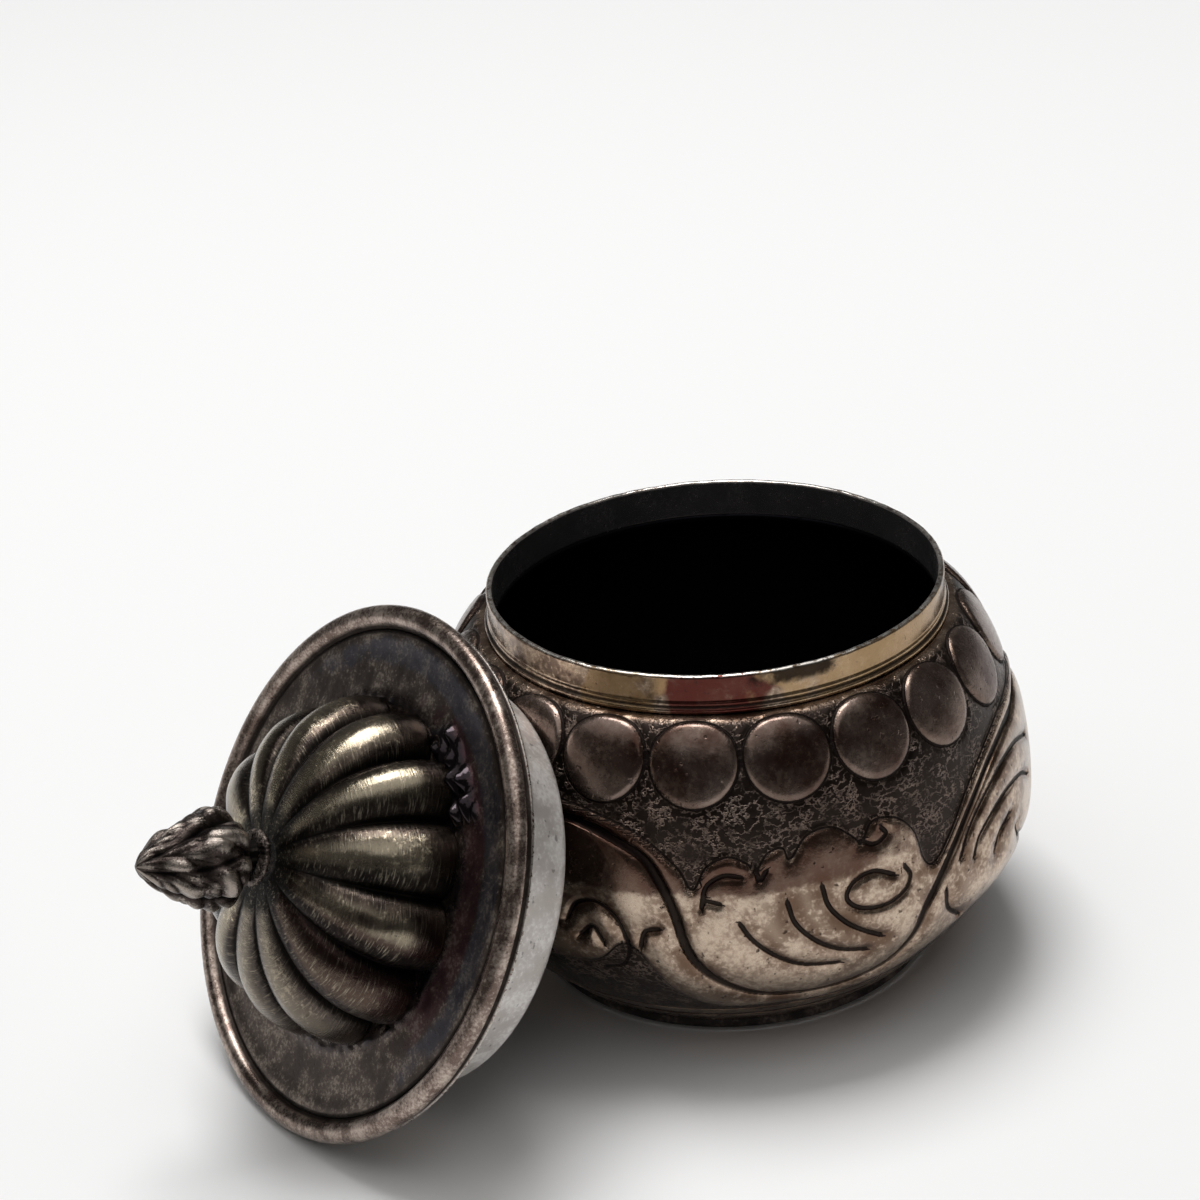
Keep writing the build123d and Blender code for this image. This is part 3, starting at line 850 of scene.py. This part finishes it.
def silver(name, deep, middle, worn, rough=(0.28, 0.5), cloud=260, wear=(0.47, 0.64), grain=0.02,
           speckle=0.4, metallic=0.92, pits=0.3, first=None, second=None, marked=(), shape=None):
    """Tarnished silver in three tones. marked names marks of the mesh; shape adds a piece's own work."""
    make = Finish(name)
    clouds = make.noise(cloud, 6, 0.62)
    fine = make.noise(cloud * 8, 4, 0.62)
    tone = make.mix(make.steps(clouds, 0.36, 0.62), deep, middle)
    bright = make.steps(clouds * 0.55 + fine * 0.45, *wear)
    if "high" in marked:
        bright = make.steps(bright * 0.5 + make.mark("high") * 0.7, 0.45, 1.0)
    tone = make.mix(bright, tone, worn)
    for label, stain in (("first", first), ("second", second)):
        if stain:
            colour, strength = stain
            amount = make.steps(make.mark(label) + make.noise(cloud * 1.3, 5, 0.65) * 1.6 - 0.8, 0.3, 0.85)
            tone = make.mix(amount * strength, tone, colour)
    specks = make.steps(make.noise(cloud * 14, 3, 0.7), 0.58, 0.7) * speckle
    tone = make.mix(specks, tone, darker(deep, 0.4))
    small_pits = make.steps(make.noise(cloud * 5, 2, 0.5), 0.66, 0.74) * pits
    tone = make.mix(small_pits, tone, darker(deep, 0.25))
    dull = make.steps(clouds * 0.5 + fine * 0.5, 0.35, 0.65) * (rough[1] - rough[0]) + rough[0]
    height = fine * 0.6 + make.noise(cloud * 3, 4, 0.6) * 0.8 - small_pits * 1.5
    if "groove" in marked:
        groove = make.steps(make.mark("groove") + fine * 0.9 - 0.45, 0.2, 0.9)
        tone = make.mix(groove * 0.9, tone, darker(deep, 0.1))
        dull = dull + groove * 0.3
    if "edge" in marked:
        tone = make.mix(make.mark("edge") * make.steps(fine, 0.38, 0.5), tone, cut_edge)
    if "bore" in marked:
        tone = make.mix(make.mark("bore"), tone, make.mix(clouds, bore_dull, bore_pale))
    if shape:
        tone, dull, height = shape(make, tone, dull, height)
    bump = make.node("Bump", None, {"Strength": 0.6, "Distance": grain * MM, "Height": height})
    shader = make.node("BsdfPrincipled", None, {
        "Base Color": tone, "Roughness": dull, "Metallic": metallic, "Normal": bump})
    make.node("OutputMaterial", None, {"Surface": shader})
    return make.owner


# %% [markdown]
# ## What only one piece has
# The bowl's ground was matted with a punch, which leaves short curls of bright metal between dark ones.
# They are finer than any mesh here, so they are drawn where a noise crosses its middle value. The chased
# lines are drawn where the mark "line" crosses 0. The solder is black glass, and the dome's lobes carry
# scratches across.

# %% The bowl's own work
def chased(make, tone, dull, height):
    """Dull discs, a punched ground of fine curled hatching, crisp dark lines and a near-black inside."""
    disc = make.mark("disc")
    # The discs take a darker, mottled brown.
    disc_brown = make.steps(make.noise(170, 5, 0.6), 0.34, 0.68)
    disc_brown = make.mix(disc_brown, (0.045, 0.02, 0.015), (0.23, 0.175, 0.15))
    tone = make.mix(disc * 0.88, tone, disc_brown)
    ground = make.mark("ground")
    squeezed = make.node("Mapping", None, {"Vector": make.place(), "Scale": (1.0, 1.0, 1.4)})
    curls = make.noise(800, 3, 0.65, squeezed)
    hatch = make.steps(abs(curls - 0.5), 0.05, 0.01) * make.steps(make.noise(420, 4, 0.65), 0.34, 0.62)
    warm = make.mix(make.noise(90, 3, 0.5), (0.2, 0.13, 0.1), (0.22, 0.185, 0.16))
    punched = make.mix(hatch, (0.017, 0.012, 0.0105), warm)
    tone = make.mix(ground * 0.95, tone, punched)
    close = make.steps(make.mark("near"), 3.2, 2.2)
    line = make.steps(abs(make.mark("line")), 1.3, 0.7) * close
    tone = make.mix(line * 0.96, tone, (0.012, 0.008, 0.007))
    height = height * (1 - ground * 0.5) + ground * hatch * 4.0 - line * 6.0
    # The inside of the bowl is made near-black.
    inner_dark = make.mark("inside")
    tone = make.mix(inner_dark, tone, (0.014, 0.012, 0.017))
    dull = dull + ground * 0.12 + line * 0.2 + inner_dark * 0.12 + disc * 0.04
    return tone, dull, height


# %% The plate's solder and the dome's scratches
def soldered(make, tone, dull, height):
    """Black and glossy where solder ran."""
    ran = make.mark("solder")
    tone = make.mix(ran * 0.96, tone, (0.022, 0.018, 0.021))
    return tone, dull * (1 - ran) + ran * 0.14, height * (1 - ran * 0.6)


def scratched(make, tone, dull, height):
    """The lobes were scraped round, so the light breaks up into short bars across each of them."""
    where = make.node("CombineXYZ", None, {0: make.mark("up") * 2.4, 1: make.mark("round") * 1.3, 2: 0.0})
    bars = make.noise(3.2, 4, 0.65, where)
    tone = make.mix(make.steps(bars, 0.52, 0.7) * make.mark("high") * 0.45, tone, (0.55, 0.48, 0.36))
    return tone, dull + bars * 0.14 - 0.07, height + bars * 3.0


# %% [markdown]
# ## The pot's finishes
# The wave is worn to a warm beige, with a painted dark reflection over the tops of its leaves. The neck
# is the smoothest surface of all. The base has hardly been touched by anything but the table.

# %% The pot's finishes
soot_black = (0.02, 0.014, 0.012)
# The bowl's second stain is the painted dark reflection on the tops of the leaves.
bowl_finish = silver(
    "chased_silver", (0.14, 0.086, 0.058), (0.36, 0.265, 0.2), (0.56, 0.445, 0.345),
    second=((0.085, 0.042, 0.03), 0.85), marked=("high",),
    grain=0.05, rough=(0.16, 0.28), wear=(0.44, 0.66), speckle=0.25, pits=0.8, shape=chased)
neck_finish = silver(
    "neck_silver", (0.12, 0.08, 0.06), (0.34, 0.25, 0.185), (0.56, 0.44, 0.33),
    first=((0.085, 0.018, 0.014), 0.94), second=((0.4, 0.265, 0.135), 0.75),
    marked=("groove", "edge", "bore"), rough=(0.16, 0.28), speckle=0.4, pits=0.5)
base_finish = silver(
    "base_silver", soot_black, (0.06, 0.044, 0.038), (0.18, 0.14, 0.12),
    marked=("groove",), rough=(0.5, 0.65), metallic=0.1)

# %% [markdown]
# ## The lid's finishes
# The plate is brown-black and the rim a little paler, because it is held there. The flange sits in the neck
# when the lid is on, so it stayed paler, and its near-white colour is also painted light that brightens it
# in the shade between pot and lid. The dome is the darkest and the most polished, and the bud is darker
# still in its creases.

# %% The lid's finishes
plate_finish = silver(
    "plate_silver", (0.055, 0.041, 0.035), (0.125, 0.096, 0.08), (0.31, 0.26, 0.215),
    first=((0.085, 0.028, 0.042), 0.55), second=((0.075, 0.08, 0.11), 0.5), marked=("groove",),
    grain=0.04, rough=(0.28, 0.44), cloud=380, wear=(0.5, 0.64), speckle=0.7, shape=soldered)
rim_finish = silver(
    "rim_silver", (0.14, 0.1, 0.083), (0.3, 0.235, 0.2), (0.52, 0.43, 0.37),
    marked=("groove", "edge"), rough=(0.24, 0.38), cloud=420, speckle=0.35, pits=0.6)
# Painted light: the flange's colour is raised to brighten it in the shade between pot and lid.
pale_lit_flange_finish = silver(
    "flange_silver", (0.56, 0.515, 0.48), (0.72, 0.68, 0.645), (0.86, 0.83, 0.8),
    rough=(0.4, 0.54), metallic=0.5, speckle=0.12, pits=0.6)
dome_finish = silver(
    "dome_silver", soot_black, (0.085, 0.064, 0.05), (0.6, 0.52, 0.38),
    first=((0.045, 0.024, 0.021), 0.85), second=((0.1, 0.084, 0.072), 0.6), marked=("groove", "high"),
    grain=0.025, rough=(0.12, 0.24), wear=(0.53, 0.72), shape=scratched)
bud_finish = silver(
    "bud_silver", soot_black, (0.055, 0.042, 0.037), (0.32, 0.275, 0.24),
    marked=("groove", "high"), grain=0.14, rough=(0.22, 0.42), cloud=600, wear=(0.5, 0.68))
stem_finish = silver(
    "calyx_silver", (0.015, 0.011, 0.01), (0.045, 0.034, 0.03), (0.24, 0.2, 0.17), grain=0.14, cloud=800)
print("materials, with the frame's own:", len(bpy.data.materials))

# %% [markdown]
# ## Bodies
# The pot's pieces stay with the pot and the lid's with the lid. Each surface stands for the frame's own
# piece. The washer is hidden in the dome, so the frame's own stays and gets the calyx's finish.

# %% Who moves with whom
for piece, body, node, slot, finish in (
    (bowl, "pot", "pot_bowl", "pot_silver", bowl_finish),
    (neck, "pot", "neck_collar", "neck_silver", neck_finish),
    (base, "pot", "base_plate", "base_silver", base_finish),
    (plate, "lid", "lid_plate", "lid_silver", plate_finish),
    (rim, "lid", "lid_rim", "rim_silver", rim_finish),
    (flange, "lid", "lid_flange", "flange_silver", pale_lit_flange_finish),
    (dome, "lid", "lid_dome", "dome_silver", dome_finish),
    (calyx, "lid", "finial_calyx", "finial_silver", stem_finish),
    (bud, "lid", "finial_bud", "finial_silver", bud_finish),
):
    piece.data.materials.append(finish)
    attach(piece, body)
    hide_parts(node)
    print(piece.name, "rides on", body)
for washer_slot in frame["nodes"]["finial_washer"].material_slots:
    washer_slot.material = stem_finish

# %% [markdown]
# ## The floor
# The box stands on pale paper, which also lights it from below. Far from the box the lamps no longer reach,
# so there the paper shows its own white to the camera and to shiny metal. Near the box it keeps the shadow.

# %% The floor
reach = 3.0
corners = [(-reach, -reach, 0), (reach, -reach, 0), (reach, reach, 0), (-reach, reach, 0)]
floor_mesh = bpy.data.meshes.new("floor")
floor_mesh.from_pydata(corners, [], [(0, 1, 2, 3)])
floor = bpy.data.objects.new("floor", floor_mesh)
floor.location.z = -0.0001
bpy.context.scene.collection.objects.link(floor)

paper = Finish("paper")
near_paper = paper.node("BsdfPrincipled", None, {"Base Color": (0.9, 0.9, 0.9, 1), "Roughness": 0.9})
far_paper = paper.node("Emission", None, {"Color": (0.93, 0.93, 0.925, 1), "Strength": 1.0})
from_middle = paper.node("VectorMath", {"operation": "LENGTH"}, {0: paper.place()}, out="Value")
seen, mirrored = (paper.node("LightPath", out=ray) for ray in ("Is Camera Ray", "Is Glossy Ray"))
farness = paper.steps(from_middle, 0.3, 1.0) * (seen + mirrored)
sheet = paper.node("MixShader", None, {0: farness, 1: near_paper, 2: far_paper})
paper.node("OutputMaterial", None, {"Surface": sheet})
floor_mesh.materials.append(paper.owner)

# %% [markdown]
# ## The room
# Silver shows what is around it. So the room is dim at the height where the lobes and discs look, a little
# brighter at the horizon and overhead, and a ramp from the horizon to the zenith says so. An indoor picture
# would do the same, but a ramp is easier to tune.

# %% The room
scene = bpy.context.scene
scene.view_settings.view_transform = "Standard"
room = Finish("room", bpy.data.worlds)
scene.world = room.owner
greys = ((0.0, 0.26), (0.06, 0.16), (0.2, 0.07), (0.75, 0.07), (1.0, 0.35))
stops = [(upness, (grey * 1.02, grey, grey * 0.97, 1)) for upness, grey in greys]
direction = room.node("TexCoord", None, None, out="Generated")
upness = room.node("SeparateXYZ", None, {0: direction}, out="Z")
walls = room.node("ValToRGB", {"stops": stops}, {0: upness})
glow = room.node("Background", None, {"Color": walls, "Strength": 1.0})
room.node("OutputWorld", None, {"Surface": glow})

# %% [markdown]
# ## The lamps
# The smaller lamp is the window that draws the long highlights on the lobes. The larger one is the sky and
# keeps the shadow soft.

# %% The lamps
def soft_lamp(name, place, target, size, power):
    """A square lamp that faces its target."""
    data = bpy.data.lights.new(name, "AREA")
    data.size, data.energy = size, power
    lamp = bpy.data.objects.new(name, data)
    lamp.location = place
    lamp.rotation_euler = (Vector(target) - Vector(place)).to_track_quat("-Z", "Y").to_euler()
    scene.collection.objects.link(lamp)
    print(name, "lamp:", power, "W")


soft_lamp("window", (0.08, 0.25, 1.0), (0, 0, 0.02), 0.5, 7.5)
soft_lamp("sky", (-0.3, -0.1, 1.6), (0, 0, 0.02), 2.2, 11.5)

# %% [markdown]
# ## The camera
# The camera was worked out from the photograph: its distance and height come from how round the neck's and
# lid's circles look, and its small tilt from how they lean. The box stands low and to the right in the
# picture, so the camera is panned and tipped away from it.

# %% Where the camera looks
unit, picture_width, sensor = 0.023, 1200, 36
view_turn, view_height, roll = radians(-124.8), radians(29.39), radians(-3.187)
focal, distance, shift_x, shift_y = 3050.9, 13.754 * unit, 126.15, 185.36
aim = Vector((0, 0, 0.7 * unit))
away = Vector((cos(view_turn) * cos(view_height), sin(view_turn) * cos(view_height), sin(view_height)))
right = Vector((-sin(view_turn), cos(view_turn), 0))
up = away.cross(right)
right, up = right * cos(roll) + up * sin(roll), up * cos(roll) - right * sin(roll)
forward = -away
pan, tip = atan2(shift_x, focal), atan2(shift_y, focal)
right, forward = right * cos(pan) + forward * sin(pan), forward * cos(pan) - right * sin(pan)
forward, up = forward * cos(tip) + up * sin(tip), up * cos(tip) - forward * sin(tip)
print("camera distance:", round(distance, 3), "m")

# %% The camera
camera_data = bpy.data.cameras.new("camera")
camera_data.sensor_width = sensor
camera_data.lens = focal / picture_width * sensor
camera = bpy.data.objects.new("camera", camera_data)
turned_so = Matrix((right, up, -forward)).transposed().to_4x4()
camera.matrix_world = Matrix.Translation(aim + away * distance) @ turned_so
scene.collection.objects.link(camera)
scene.camera = camera
